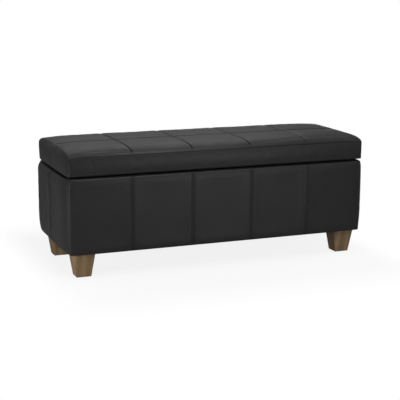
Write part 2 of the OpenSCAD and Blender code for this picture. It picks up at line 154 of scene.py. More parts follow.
pastBoard = 0.009                    # the lid's seams stand this far past its board
seamX = frontCoverHigh[0]            # half the body's length at its corner seams
seamY = boxOf("left_cover")[1][1]    # half its depth
baseZ, rimZ = frontCoverLow[2], frontCoverHigh[2]
lidX = boardHigh[0] + pastBoard      # half the lid's length at its corner seams
lidFront, lidBack = boardLow[1] - pastBoard, lidCoverHigh[1]
lidZ, seatZ = lidCoverLow[2], lidCoverHigh[2]


# how the leather is cut and sewn

leather = {
    "pitch": 0.237,          # from one cross seam to the next
    "step": 0.0058,          # spacing of the mesh lines
    "pull": 0.0016,          # how far the leather is pulled down beside a seam
    "pullReach": 0.0085,     # and how wide that is
    "crease": 0.0022,        # how deep the crease along the thread is
    "creaseReach": 0.0016,
    "gather": 0.0003,        # small gathers beside the stitches
    "gatherLength": 0.013,
    "gatherReach": 0.007,
    "pucker": 0.0013,        # folds where two seams meet at a corner
    "ripple": 0.0007,        # slow waves in the tight leather
    "stitchRow": 0.0048,     # felled seams: rows of stitches this far from the seam
    "stitch": 0.0056,        # from one stitch to the next
    "stitchShare": 0.74,     # how much of that the thread is seen for
    "thread": 0.00042,       # radius of the thread
    "proud": 0.35,           # share of it by which its middle stands out of the leather
}
crossSeams = [leather["pitch"] * k for k in (-1.5, -0.5, 0.5, 1.5)]
stitchRow = leather["stitchRow"]
fellOffsets = [0, 0.0007, 0.0016, 0.0027, 0.0038, stitchRow, 0.006, 0.0085, 0.0115, 0.0155]
plainOffsets = [0, 0.0006, 0.0013, 0.0024, 0.004, 0.0065, 0.01]


def seamDip(distance):
    # depth of the leather beside a seam
    wide = leather["pull"] * np.exp(-(distance / leather["pullReach"]) ** 1.5)
    return wide + leather["crease"] * np.exp(-(distance / leather["creaseReach"]) ** 2)


def gathers(along, distance, seed):
    # small waves across a seam's edge, of uneven length
    wobble = 1.3 * np.sin(along / 0.061 + seed) + 0.8 * np.sin(along / 0.023 + 2.1 * seed)
    wave = np.sin(2 * math.pi * along / leather["gatherLength"] + wobble)
    return leather["gather"] * wave * np.exp(-(distance / leather["gatherReach"]) ** 2)


def pucker(along, distance, size):
    # spare leather in two or three small folds at a corner: along the seam from its end, and
    # the distance from the seam
    inReach = np.exp(-((distance - 0.55 * size) / (0.6 * size)) ** 2)
    folded = np.exp(-(along / (1.6 * size)) ** 2) * inReach
    waves = 1 + np.cos(2 * math.pi * (along + 0.6 * distance) / (0.85 * size))
    return leather["pucker"] * folded * waves


# the swell of the leather between its seams, from a cloth simulation

clothRun = {
    "spacing": 0.0095,       # of its mesh lines
    "steps": 20,
    "quality": 6,
    "mass": 0.4,
    "stretch": 25,
    "shear": 12,
    "bend": 1.5,
    "pressure": 3.0,
    "slack": 0.006,          # how much larger the leather is than its foam
    # a result that moves further than these is scaled down to them
    "most": {"seat": 0.0032, "band": 0.0011, "wall": 0.0024},
    "quick": {"seat": 0.0025, "band": 0.001, "wall": 0.0015},
}


def inflate(patches):
    # Blender's cloth on every patch at once: the leather is held at its seams and pressed out
    # by the foam; gives how far each point moved along its normal, scaled to the patch's most
    scene = bpy.context.scene
    objects = []
    for points, held, _ in patches:
        m, n = points.shape[:2]
        faces = [(i * n + j, (i + 1) * n + j, (i + 1) * n + j + 1, i * n + j + 1)
                 for i in range(m - 1) for j in range(n - 1)]
        obj = makeObject("cloth", points.reshape(-1, 3), faces, [])
        group = obj.vertex_groups.new(name="held")
        group.add([int(k) for k in np.flatnonzero(held.ravel())], 1.0, "REPLACE")
        cloth = obj.modifiers.new("cloth", "CLOTH")
        settings = cloth.settings
        settings.quality = clothRun["quality"]
        settings.mass = clothRun["mass"]
        settings.tension_stiffness = settings.compression_stiffness = clothRun["stretch"]
        settings.shear_stiffness = clothRun["shear"]
        settings.bending_stiffness = clothRun["bend"]
        settings.vertex_group_mass = "held"
        settings.use_pressure = True
        settings.uniform_pressure_force = clothRun["pressure"]
        settings.shrink_min = -clothRun["slack"]
        settings.effector_weights.gravity = 0
        cloth.collision_settings.use_collision = False
        cloth.point_cache.frame_start, cloth.point_cache.frame_end = 1, clothRun["steps"]
        objects.append(obj)
    for step in range(1, clothRun["steps"] + 1):
        scene.frame_set(step)
    graph = bpy.context.evaluated_depsgraph_get()
    moved = []
    for obj, (points, _, most) in zip(objects, patches):
        mesh = obj.evaluated_get(graph).to_mesh()
        places = np.zeros(len(mesh.vertices) * 3)
        mesh.vertices.foreach_get("co", places)
        along = ((places.reshape(points.shape) - points) * normalsOf(points)).sum(-1)
        low, high = float(along.min()) * 1000, float(along.max()) * 1000
        print("  cloth patch", points.shape[:2], "moved", round(low, 2), "to", round(high, 2), "mm")
        moved.append(along * min(1, most / max(float(np.abs(along).max()), 1e-6)))
    for obj in objects:
        mesh = obj.data
        bpy.data.objects.remove(obj)
        bpy.data.meshes.remove(mesh)
    scene.frame_set(1)
    return moved


def heldLines(uLines, vLines, seamsU, seamsV):
    # where a patch is held: its borders and its seams
    held = np.zeros((len(uLines), len(vLines)), bool)
    held[[0, -1], :] = held[:, [0, -1]] = True
    for seam in seamsU:
        held[np.argmin(np.abs(uLines - seam)), :] = True
    for seam in seamsV:
        held[:, np.argmin(np.abs(vLines - seam))] = True
    return held


# shells: grids of points that are joined along their borders

def newShell():
    return {"points": [], "faces": [], "shade": [], "smooth": []}


def addGrid(shell, points, shade=None):
    m, n = points.shape[:2]
    first = len(shell["points"])
    shell["points"] += list(points.reshape(-1, 3))
    shell["shade"] += list((np.zeros((m, n)) if shade is None else shade).ravel())
    corners = [(first + i * n + j, first + (i + 1) * n + j)
               for i in range(m - 1) for j in range(n - 1)]
    shell["faces"] += [(a, b, b + 1, a + 1) for a, b in corners]
    shell["smooth"] += [True] * len(corners)


def addBox(shell, low, high):
    first = len(shell["points"])
    corners = [(x, y, z) for z in (low[2], high[2]) for y in (low[1], high[1])
               for x in (low[0], high[0])]
    shell["points"] += [np.array(corner) for corner in corners]
    shell["shade"] += [0.0] * len(corners)
    sides = [(0, 2, 3, 1), (4, 5, 7, 6), (0, 1, 5, 4), (2, 6, 7, 3), (0, 4, 6, 2), (1, 3, 7, 5)]
    shell["faces"] += [tuple(first + k for k in side) for side in sides]
    shell["smooth"] += [False] * len(sides)


def closeShell(shell, name, materials):
    # joins the grids into one closed mesh; seamShade is painted shade: how much the
    # material is darkened and dulled at each point, in the seams' creases and grooves
    obj = makeObject(name, shell["points"], shell["faces"], materials)
    obj.data.polygons.foreach_set("use_smooth", shell["smooth"])
    attribute = obj.data.attributes.new("seamShade", "FLOAT", "POINT")
    attribute.data.foreach_set("value", shell["shade"])
    work = bmesh.new()
    work.from_mesh(obj.data)
    bmesh.ops.remove_doubles(work, verts=work.verts, dist=2e-5)
    bmesh.ops.recalc_face_normals(work, faces=work.faces)
    loose = [e for e in work.edges if len(e.link_faces) != 2]
    print(" ", name, len(work.verts), "points,", len(loose), "open edges")
    work.to_mesh(obj.data)
    work.free()
    return obj


# the lid's leather: one strip up an end, over the seat and down the other end, and a band
# sewn to it along the front and the back

lidShape = {
    "crown": 0.027,          # top of the seat over its edge seam
    "seamsUnder": 0.0046,    # the seams lie this far below the swollen panels
    "endDrop": 0.0055,       # the seat is this much lower at its ends
    "dropPower": 9,          # and falls there this suddenly
    "archFrom": 0.42,        # from here on the seat draws in to its rounded ends
    "endSwell": 0.010,
    "endRound": 0.024,
    "endRoll": 0.85,         # under 1: the end turns over squarer than a circle
    "endLean": 0.004,        # the end leans in by this at its foot
    "frontSwell": 0.0025,    # the edge seam bows out by this
    "bandSwell": 0.002,      # and the band by this much more
    "cornerDroop": 0.005,    # the edge seam sinks this much towards its corners
    "droopReach": 0.075,
    "lowRound": 0.0045,      # round of the lower edge
    "rollLines": 12,
    "backShare": 0.45,       # the back swells less than the front
    "turnUnder": 0.034,      # leather turned under the board
}
seatRoll = {
    # how the seat turns over at its edges: a higher square keeps it flat for longer, and a
    # lower rise makes the turn steeper at the seam
    "frontSquare": 6.5,
    "cornerSquare": 5.0,     # the front's square at its corners, growing from frontFrom
    "frontFrom": 0.36,
    "frontRise": 0.95,
    "backSquare": 5.5,
    "backRise": 0.45,
    "endSquare": 8,
    "endRise": 0.7,
    "leftFrontSquare": 4,    # the corner that is looser than the others
}
edgeZ = seatZ - lidShape["crown"]
bandHeight = edgeZ - lidZ
lidMiddle = (lidFront + lidBack) / 2
lidHalf = (lidBack - lidFront) / 2
seatTop = seatZ - lidShape["seamsUnder"]
endTop = seatTop - lidShape["endDrop"]
archX = lidX + lidShape["endSwell"] - lidShape["endRound"]
rollLength = lidShape["endRound"] * math.pi / 2


def drawnIn(height, size):
    # how far a face is drawn in where it turns under
    x = np.clip(1 - height / size, 0, 1)
    return size * (1 - np.sqrt(np.clip(1 - x * x, 0, 1)))


def centreLine(u):
    # the strip's middle line in x and z
    a = np.abs(u)
    onTop = np.minimum(a, lidX)
    start, end = lidShape["archFrom"], lidX + 0.02
    x = onTop - (lidX - archX) * smoothStep(onTop, start, end) / smoothStep(lidX, start, end)
    z = endTop + (seatTop - endTop) * (1 - (onTop / lidX) ** lidShape["dropPower"])
    turn = np.clip((a - lidX) / rollLength, 0, 1) * math.pi / 2
    x = x + lidShape["endRound"] * np.sin(turn) ** lidShape["endRoll"]
    z = z - lidShape["endRound"] * (1 - np.cos(turn) ** lidShape["endRoll"])
    down = np.clip((a - lidX - rollLength) / bandHeight, 0, 1)
    z = z - down * (z - lidZ)
    foot = drawnIn(z - lidZ, lidShape["lowRound"]) + lidShape["endLean"] * down ** 2
    return np.sign(u) * (x - np.where(down > 0, foot, 0)), z


def bandOut(x, height):
    # how far the front lies past the plane through its corner seams
    bow = 1 - np.clip(np.abs(x) / lidX, 0, 1) ** 6
    share = np.clip(height / bandHeight, 0, 1)
    bulge = lidShape["frontSwell"] * share ** 0.5 + lidShape["bandSwell"] * np.sin(math.pi * share)
    return bow * bulge - drawnIn(height, lidShape["lowRound"])


def seamHeight(x, height):
    # height over the lid's base, with the edge seam sunk towards its corners
    nearEnd = smoothStep(np.abs(x), lidX - lidShape["droopReach"], lidX)
    return height * (1 - nearEnd * lidShape["cornerDroop"] / bandHeight)


def lidStrip(uLines, tLines):
    # points of the strip: lines along it by shares of its half depth
    u, t = np.meshgrid(uLines, tLines, indexing="ij")
    a = np.abs(u)
    cx, cz = centreLine(u)
    height = bandHeight - np.clip(a - lidX - rollLength, 0, bandHeight)
    plainX = np.minimum(a, lidX)
    ex = np.sign(u) * (plainX - drawnIn(height, lidShape["lowRound"]))
    ez = lidZ + seamHeight(plainX, height)
    ends = smoothStep(a, lidX - 0.04, lidX + rollLength)
    t = np.clip(t, -1, 1)
    looser = seatRoll["frontSquare"] - seatRoll["cornerSquare"]
    frontSquare = seatRoll["frontSquare"] - looser * smoothStep(a, seatRoll["frontFrom"], lidX)
    square = np.where(t < 0, frontSquare, seatRoll["backSquare"])
    rise = np.where(t < 0, seatRoll["frontRise"], seatRoll["backRise"])
    atEnds = (1 - np.abs(t) ** seatRoll["endSquare"]) ** seatRoll["endRise"]
    leftFront = 1 - np.abs(t) ** seatRoll["leftFrontSquare"]
    atEnds = np.where((t < 0) & (u < 0), leftFront, atEnds)
    rolled = (1 - np.abs(t) ** square) ** rise * (1 - ends) + atEnds * ends
    x, z = ex + (cx - ex) * rolled, ez + (cz - ez) * rolled
    reach = lidHalf + bandOut(plainX, height) * np.where(t < 0, 1, lidShape["backShare"])
    return np.stack([x, lidMiddle + t * reach, z], -1)


def lidBand(alongLines, heights, side):
    # side is -1 for the front and 1 for the back; lines run with the outside on their right
    along, height = np.meshgrid(alongLines, heights, indexing="ij")
    x = -side * along
    out = bandOut(x, height) * (1 if side < 0 else lidShape["backShare"])
    corner = smoothStep(np.abs(x), lidX - 0.02, lidX) * drawnIn(height, lidShape["lowRound"])
    z = lidZ + seamHeight(x, height)
    return np.stack([x - np.sign(x) * corner, lidMiddle + side * (lidHalf + out), z], -1)


def stripLines(step, offsets, rolls, heights):
    top = meshLines(-lidX, lidX, step, [-lidX, *crossSeams, lidX], offsets)
    roll = lidX + rollLength * np.arange(1, rolls + 1) / rolls
    side = lidX + rollLength + (bandHeight - heights[::-1])[1:]
    return np.concatenate([-side[::-1], -roll[::-1], top, roll, side]), top


def depthLines(step, offsets, near):
    # lines from front to back as shares of the half depth, closer where the seat rolls over
    middle = meshLines(-0.82, 0.82, step / lidHalf, [0], [o / lidHalf for o in offsets])
    return np.array([-1.0, *[-n for n in near], *middle, *near[::-1], 1.0])


heights = meshLines(0, bandHeight, leather["step"], [bandHeight], plainOffsets)
lowEdge = [0.0006, 0.0015, 0.0028, 0.0045, 0.0065]       # more lines round the lower edge
heights = np.unique(np.round(np.concatenate([heights, lowEdge]), 6))
stripU, bandX = stripLines(leather["step"], plainOffsets, lidShape["rollLines"], heights)
stripT = depthLines(leather["step"], plainOffsets,
                    [0.9995, 0.998, 0.995, 0.99, 0.983, 0.974, 0.962, 0.948, 0.932, 0.914,
                     0.892, 0.868, 0.842])
clothHeights = np.linspace(0, bandHeight, 9)
clothU, clothX = stripLines(clothRun["spacing"], [0], 4, clothHeights)
# the cloth stops just short of the edge seams, where the roll's lines would meet
clothT = 0.985 * depthLines(clothRun["spacing"], [0], [0.975, 0.94, 0.9, 0.86])


# the body's leather: four walls that share one section, from the inner edge of the rim over
# it, down the outside, under the bottom and back up between the padding and the panels

bodyShape = {
    "swell": {"front": 0.0055, "back": 0.002, "left": 0.022, "right": 0.022},
    "rimRound": {"front": 0.0055, "back": 0.005, "left": 0.006, "right": 0.006},
    "rimPad": {"front": 0.0042, "back": 0, "left": 0.0042, "right": 0.0042},
    "padReach": (0.02, 0.09),  # the ends' rim pads grow between these, from the back
    "cornerRound": 0.0035,   # the rim is tighter at its corners
    "cornerReach": (0.002, 0.05),    # and grows to its full round between these
    "baseRound": 0.0045,
    "cover": 0.0012,         # thickness of the leather
    "topReach": 0.03,        # the swell fades out this far below the rim
    # for a long wall and for an end: how far over the base the swell starts to fade, the
    # share of it kept there, and how square it is from corner to corner
    "long": {"fade": 0.03, "kept": 0.45, "square": 14, "rise": 0.6},
    "end": {"fade": 0.075, "kept": 0.2, "square": 12, "rise": 0.8},
    "leftFrontSquare": 6,    # the front half of the left end is looser
}
padding = {"front": frontPanelLow[1] + seamY, "back": seamY - backPanelHigh[1],
           "left": seamX + leftPanelLow[0], "right": seamX + leftPanelLow[0]}
board = frontPanelHigh[1] - frontPanelLow[1]
halfLength = {"front": seamX, "right": seamY, "back": seamX, "left": seamY}
wallSeams = {"front": crossSeams, "right": [0.0], "back": crossSeams, "left": [0.0]}
middles = {"front": (0, -seamY), "right": (seamX, 0), "back": (0, seamY), "left": (-seamX, 0)}
directions = {"front": (1, 0), "right": (0, 1), "back": (-1, 0), "left": (0, -1)}
neighbours = {"front": ("left", "right"), "right": ("front", "back"),
              "back": ("right", "left"), "left": ("back", "front")}
endWalls = ("left", "right")


def inset(wall, share):
    # 0 at the seams' plane, 0.5 at the panel's outer face, 1 at its inner face
    return np.interp(share, [0, 0.5, 1], [0, padding[wall], padding[wall] + board])


def rings():
    # the section as rows of: share inwards, rim and base rounds in that inset, height, rim
    # and base rounds in that height, how much of it is the outside
    rimSteps, baseSteps, insideSteps = 8, 5, 8
    # the edge at the panel's inner face, a little rounded, and out over the rim
    rows = [(1, 0, 0, rimZ - bodyShape["cover"], 0, 0, 0), (1, 0, 0, rimZ - 0.0005, 0, 0, 0),
            (0.985, 0, 0, rimZ - 0.0001, 0, 0, 0)]
    rows += [(share, 0, 0, rimZ, 0, 0, 0) for share in
             (0.96, 0.92, 0.87, 0.81, 0.74, 0.66, 0.58, 0.5, 0.42, 0.34, 0.27, 0.21, 0.16)]
    for k in range(rimSteps + 1):
        a = math.pi / 2 * k / rimSteps
        outside = 0.3 + 0.7 * k / rimSteps
        rows.append((0, 1 - math.sin(a), 0, rimZ, math.cos(a) - 1, 0, outside))
    count = round((rimZ - baseZ) / leather["step"])
    for k in range(1, count):
        down = k / count
        rows.append((0, 0, 0, rimZ + (baseZ - rimZ) * down, down - 1, down, 1))
    for k in range(baseSteps + 1):
        a = math.pi / 2 * k / baseSteps
        rows.append((0, 0, 1 - math.cos(a), baseZ, 0, 1 - math.sin(a), 1 - k / baseSteps))
    # in under the bottom, to an edge that is rounded in the same way
    rows += [(share, 0, 0, baseZ, 0, 0, 0) for share in (0.4, 0.6, 0.8)]
    rows += [(0.985, 0, 0, baseZ + 0.0001, 0, 0, 0), (1, 0, 0, baseZ + 0.0005, 0, 0, 0)]
    # and back up against the panel's outer face, to join the first row
    low, high = baseZ + bodyShape["cover"], rimZ - bodyShape["cover"]
    rows += [(share, 0, 0, low, 0, 0, 0) for share in (1, 0.75, 0.5)]
    rows += [(0.5, 0, 0, low + (high - low) * k / insideSteps, 0, 0, 0)
             for k in range(1, insideSteps + 1)]
    rows += [(0.75, 0, 0, high, 0, 0, 0), (1, 0, 0, high, 0, 0, 0)]
    return np.array(rows)


def wallPoints(wall, uLines, rows):
    # points of a wall: lines along it by rows of the section
    u, _ = np.meshgrid(uLines, rows[:, 0], indexing="ij")
    share, rimIn, baseIn, height, rimDown, baseUp, outside = rows.T
    half, small, base = halfLength[wall], bodyShape["cornerRound"], bodyShape["baseRound"]
    form = bodyShape["end" if wall in endWalls else "long"]
    rimGrows = smoothStep(half - np.abs(u), *bodyShape["cornerReach"])
    rim = small + (bodyShape["rimRound"][wall] - small) * rimGrows
    z = height + rimDown * rim + baseUp * base
    inwards = inset(wall, share) + rimIn * rim + baseIn * base
    before, after = (inset(side, share) + rimIn * small + baseIn * base
                     for side in neighbours[wall])
    t = np.clip(u / half, -1, 1)
    along = u + before * (1 - t) / 2 - after * (1 + t) / 2
    fromTop = np.clip((rimZ - z) / bodyShape["topReach"], 0, 1)
    fromBase = np.clip((z - baseZ) / form["fade"], 0, 1)
    atBase = form["kept"] + (1 - form["kept"]) * np.sqrt(1 - (1 - fromBase) ** 2)
    upright = np.sqrt(1 - (1 - fromTop) ** 2) * atBase
    pad = bodyShape["rimPad"][wall]
    if wall in endWalls:
        start, end = bodyShape["padReach"]
        pad = pad * smoothStep(-directions[wall][1] * u, start - half, end - half)
    onRim = (baseIn == 0) & (z > rimZ - 0.0002)
    padShape = np.sin(math.pi * np.clip((share - 0.2) / 0.8, 0, 1)) ** 0.8
    z = z + np.where(onRim, pad * padShape, 0)
    across = (1 - np.abs(t) ** form["square"]) ** form["rise"]
    if wall == "left":
        across = np.where(t > 0, 1 - np.abs(t) ** bodyShape["leftFrontSquare"], across)
    swell = bodyShape["swell"][wall] * across * upright * np.where(outside > 0, 1, 0)
    out = swell - inwards
    dx, dy = directions[wall]
    cx, cy = middles[wall]
    return np.stack([cx + dx * along + dy * out, cy + dy * along - dx * out, z], -1)


print("building the leather")
section = rings()
wallU, clothWallU = {}, {}
for wall, half in halfLength.items():
    lines = [-half, *wallSeams[wall], half]
    wallU[wall] = meshLines(-half, half, leather["step"], lines, fellOffsets)
    clothWallU[wall] = meshLines(-half, half, clothRun["spacing"], wallSeams[wall], [0])
clothZ = np.linspace(baseZ + bodyShape["baseRound"], rimZ - bodyShape["cornerRound"], 28)

most = clothRun["most"]
stripHeld = heldLines(clothU, clothT, crossSeams, [0])
bandHeld = heldLines(clothX, clothHeights, [], [])
patches = [(lidStrip(clothU, clothT), stripHeld, most["seat"])]
patches += [(lidBand(clothX, clothHeights, side), bandHeld, most["band"]) for side in (-1, 1)]
for wall in halfLength:
    rows = np.array([(0, 0, 0, z, 0, 0, 1) for z in clothZ])
    held = heldLines(clothWallU[wall], clothZ, wallSeams[wall], [])
    patches.append((wallPoints(wall, clothWallU[wall], rows), held, most["wall"]))
swells = inflate(patches)


def arcAlong(points):
    # distance along the second direction from its middle, at each point
    steps = np.linalg.norm(np.diff(points, axis=1), axis=-1)
    run = np.concatenate([np.zeros((len(points), 1)), np.cumsum(steps, 1)], 1)
    return run - run[:, -1:] / 2


# the strip

stripSewing = {
    "stop": 0.018,           # a cross seam ends this far from the edge seam
    "fork": (-0.009, 0.008),  # and parts there into two pleats that spread this far
    "forkRun": 0.017,
    "forkDepth": 0.55,
    "border": 0.016,         # the swell rises from the edge seam over about this
    "crossWidth": 0.0028,    # widths of the painted shade lines along the seams
    "forkWidth": 0.0022,
    "middleWidth": 0.0032,
    "edgeWidth": 0.0048,
    # how dark the painted shade is along the pleats and along the edge seam, where it also covers
    # the lip that would catch the light
    "forkDark": 0.4,
    "edgeDark": 0.75,
    "endDepth": 0.16,        # what is left of the lengthwise seam's dip over the ends
    "endDark": 0.08,         # and of its painted shade line
}
folds = [
    # slack in the leather near the front edge: from, to (along the seat, in from the edge seam)
    {"from": (0.1235, 0.018), "to": (0.335, 0.052), "depth": 0.0010, "width": 0.013},
    {"from": (0.335, 0.052), "to": (0.540, 0.060), "depth": 0.0010, "width": 0.014},
    {"from": (-0.585, 0.012), "to": (-0.490, 0.034), "depth": 0.0008, "width": 0.008},
    {"from": (-0.490, 0.034), "to": (-0.360, 0.024), "depth": 0.0008, "width": 0.008},
]
base = lidStrip(stripU, stripT)
arc = arcAlong(base)
halfArc = -arc[:, :1]
u = np.broadcast_to(stripU[:, None], arc.shape)
fromEdge = np.maximum(halfArc - np.abs(arc), 0)
onSeat = smoothStep(-np.abs(u), -lidX - rollLength * 0.5, -lidX + 0.01)
border = 1 - np.exp(-(fromEdge / stripSewing["border"]) ** 1.1)
# dip: how far the leather sinks at the seams; dark: painted shade along them, in the creases and
# pleats
dip, dark = np.zeros_like(arc), np.zeros_like(arc)
for x in crossSeams:
    reach = float(halfArc[np.argmin(np.abs(stripU - x))][0]) - stripSewing["stop"]
    distance = fromLine(u, arc, (x, -reach), (x, reach))
    dip = np.maximum(dip, seamDip(distance))
    dark = np.maximum(dark, np.exp(-(distance / stripSewing["crossWidth"]) ** 2))
    for side in (-1, 1):
        for spreadOut in stripSewing["fork"]:
            end = (x + spreadOut, side * (reach + stripSewing["forkRun"]))
            distance = fromLine(u, arc, (x, side * reach), end)
            forkLine = np.exp(-(distance / stripSewing["forkWidth"]) ** 2)
            dip = np.maximum(dip, stripSewing["forkDepth"] * seamDip(distance))
            dark = np.maximum(dark, stripSewing["forkDark"] * forkLine)
endDepth, endDark = stripSewing["endDepth"], stripSewing["endDark"]
middleLine = np.exp(-(arc / stripSewing["middleWidth"]) ** 2)
dip = np.maximum(dip, seamDip(np.abs(arc)) * (endDepth + (1 - endDepth) * onSeat))
dark = np.maximum(dark, middleLine * (endDark + (1 - endDark) * onSeat))
soft = np.zeros_like(arc)
for fold in folds:
    distance = fromLine(u, arc + halfArc, fold["from"], fold["to"])
    soft += fold["depth"] * np.exp(-(distance / fold["width"]) ** 1.6) * onSeat
nearCross = np.min([np.abs(u - x) for x in crossSeams], axis=0)
raised = leather["pull"] - dip - soft
raised += spread(swells[0], clothU, clothT, stripU, stripT)
raised += leather["ripple"] * lumps(base, 0.11, 1) * onSeat
raised += (gathers(u, fromEdge, 1) + gathers(arc, nearCross, 2) * onSeat * 0.6
           + gathers(u, np.abs(arc), 3) * 0.3)
stripPoints = base + normalsOf(base) * (raised * border)[..., None]
# painted shade along the edge seam, darker and less shiny for about 5 mm in from it
edge = np.exp(-(fromEdge / stripSewing["edgeWidth"]) ** 2)
edge = edge * smoothStep(-np.abs(u), -lidX - 0.002, -lidX + 0.01)
stripShade = np.clip(np.maximum(dark, stripSewing["edgeDark"] * edge), 0, 1)

lidShell = newShell()
addGrid(lidShell, stripPoints, stripShade)

# the two bands

bandSewing = {
    "rise": 0.0014,          # the leather stands this far off its seams
    "border": 0.012,
    "cornerBorder": 0.0022,
    "pucker": 0.7,
    "puckerSize": 0.009,
    # painted shade along the edge seam: how dark, and how wide
    "edgeDark": 0.5,
    "edgeWidth": 0.0016,
    "stitchesUnder": 0.004,  # the row of stitches, below the edge seam
}
cornerDark, cornerWidth = 0.2, 0.0012        # painted shade lines along the corner seams
bandPoints = {}
for side, swell in ((-1, swells[1]), (1, swells[2])):
    base = lidBand(bandX, heights, side)
    x, height = np.meshgrid(-side * bandX, heights, indexing="ij")
    fromSeam = np.maximum(bandHeight - height, 0)
    fromCorner = np.maximum(lidX - np.abs(x), 0)
    border = ((1 - np.exp(-(fromSeam / bandSewing["border"]) ** 1.2))
              * (1 - np.exp(-(fromCorner / bandSewing["cornerBorder"]) ** 1.4)))
    border *= smoothStep(height, 0, 0.006)
    raised = bandSewing["rise"] + spread(swell, clothX, clothHeights, bandX, heights)
    raised += leather["ripple"] * 0.7 * lumps(base, 0.09, 4)
    raised += gathers(x, fromSeam, 5) + 0.4 * gathers(height, fromCorner, 6)
    raised += bandSewing["pucker"] * pucker(fromSeam, fromCorner, bandSewing["puckerSize"])
    points = base + normalsOf(base) * (raised * border)[..., None]
    # painted shade along the edge seam and along the corner seams
    shade = (bandSewing["edgeDark"] * np.exp(-(fromSeam / bandSewing["edgeWidth"]) ** 2)
             + cornerDark * np.exp(-(fromCorner / cornerWidth) ** 2))
    addGrid(lidShell, points, shade)
    bandPoints[side] = points

# under the lid: turned-under leather, and the hollow that the board fills

boardRect = (boardHigh[0], boardLow[1], boardHigh[1])
turned = lidShape["turnUnder"]
turnRect = (lidX - turned, lidFront + turned, lidBack - turned)
under = np.concatenate([
    bandPoints[-1][:-1, 0], stripPoints[-1, :-1], bandPoints[1][:-1, 0], stripPoints[0, :0:-1],
])
sideShare = np.concatenate([
    np.stack([bandX[:-1] / lidX, -np.ones(len(bandX) - 1)], -1),
    np.stack([np.ones(len(stripT) - 1), stripT[:-1]], -1),
    np.stack([-bandX[:-1] / lidX, np.ones(len(bandX) - 1)], -1),
    np.stack([-np.ones(len(stripT) - 1), stripT[:0:-1]], -1),
])


def ringAt(rect, z):
    halfX, front, back = rect
    y = (front + back) / 2 + sideShare[:, 1] * (back - front) / 2
    return np.stack([sideShare[:, 0] * halfX, y, np.full(len(sideShare), z)], -1)


turnedEdge = ringAt(turnRect, lidZ)
lowRings = [under, (under * 2 + turnedEdge) / 3, (under + 2 * turnedEdge) / 3, turnedEdge,
            ringAt(turnRect, boardLow[2]), ringAt(boardRect, boardLow[2]),
            ringAt(boardRect, boardHigh[2])]
loops = np.stack([np.concatenate([ring, ring[:1]]) for ring in lowRings], 1)
addGrid(lidShell, loops)
first = len(lidShell["points"])
lidShell["points"] += list(lowRings[-1])
lidShell["shade"] += [0.0] * len(lowRings[-1])
lidShell["faces"].append(tuple(range(first, first + len(lowRings[-1]))))
lidShell["smooth"].append(False)

# the body's four walls

wallSewing = {
    "rise": 0.0012,          # the leather stands this far off its seams
    "cornerBorder": 0.0026,
    "grooveWidth": 0.0011,   # along the seam itself
    "rowWidth": 0.0013,      # along each row of stitches
    "stripDip": 0.55,        # shares of the rise lost between the rows, in the groove, in a row
    "grooveDip": 0.5,
    "rowDip": 0.45,
    # how dark the painted shade is between the rows, in the groove and along the rows of stitches
    "stripDark": 0.1,
    "grooveDark": 0.35,
    "rowDark": 0.4,
    "endDark": 0.5,          # the ends' seams get fainter painted shade
    "puckerSize": 0.011,
}
bodyShell = newShell()
wallGrid = {}
for number, wall in enumerate(halfLength):
    base = wallPoints(wall, wallU[wall], section)
    u, z = np.meshgrid(wallU[wall], section[:, 3], indexing="ij")
    mask = np.broadcast_to(smoothStep(section[:, 6], 0.25, 0.9), u.shape)
    fromCorner = np.maximum(halfLength[wall] - np.abs(u), 0)
    border = 1 - np.exp(-(fromCorner / wallSewing["cornerBorder"]) ** 1.4)
    nearSeam = np.min([np.abs(u - seam) for seam in wallSeams[wall]], axis=0)
    groove = np.exp(-(nearSeam / wallSewing["grooveWidth"]) ** 1.6)
    rows = np.exp(-((nearSeam - stitchRow) / wallSewing["rowWidth"]) ** 2)
    strip = 1 - smoothStep(nearSeam, stitchRow - 0.001, stitchRow + 0.004)
    raised = wallSewing["rise"] * (1 - wallSewing["stripDip"] * strip
                                   - wallSewing["grooveDip"] * groove * strip
                                   - wallSewing["rowDip"] * rows)
    faceSwell = spread(swells[3 + number], clothWallU[wall], clothZ, wallU[wall], section[:, 3])
    raised = raised + faceSwell * smoothStep(nearSeam, stitchRow, 0.04)
    raised += leather["ripple"] * lumps(base, 0.12, 7 + number)
    raised += gathers(z, np.abs(nearSeam - stitchRow - 0.002), 11 + number)
    raised += 0.35 * gathers(z, fromCorner, 15 + number)
    underRim = np.maximum(rimZ - 0.008 - z, 0)
    raised += pucker(underRim, fromCorner, wallSewing["puckerSize"]) * mask
    points = base + normalsOf(base) * (raised * border * mask)[..., None]
    # painted shade in the felled seams and along the corner seams
    darkness = wallSewing["endDark"] if wall in endWalls else 1
    shade = np.clip(darkness * (strip * wallSewing["stripDark"] + groove * wallSewing["grooveDark"]
                                + rows * wallSewing["rowDark"]), 0, 1)
    shade = np.maximum(shade, cornerDark * np.exp(-(fromCorner / cornerWidth) ** 2)) * mask
    addGrid(bodyShell, points, shade)
    wallGrid[wall] = points

# the leather is folded in over the tops of the corner posts

for endName in endWalls:
    for wall in ("front", "back"):
        low, high = boxOf("post_" + wall + "_" + endName)
        addBox(bodyShell, (low[0], low[1], high[2] + 0.0001), (high[0], high[1], rimZ - 0.0001))


# threads: short stitches laid half into the leather along a line of points

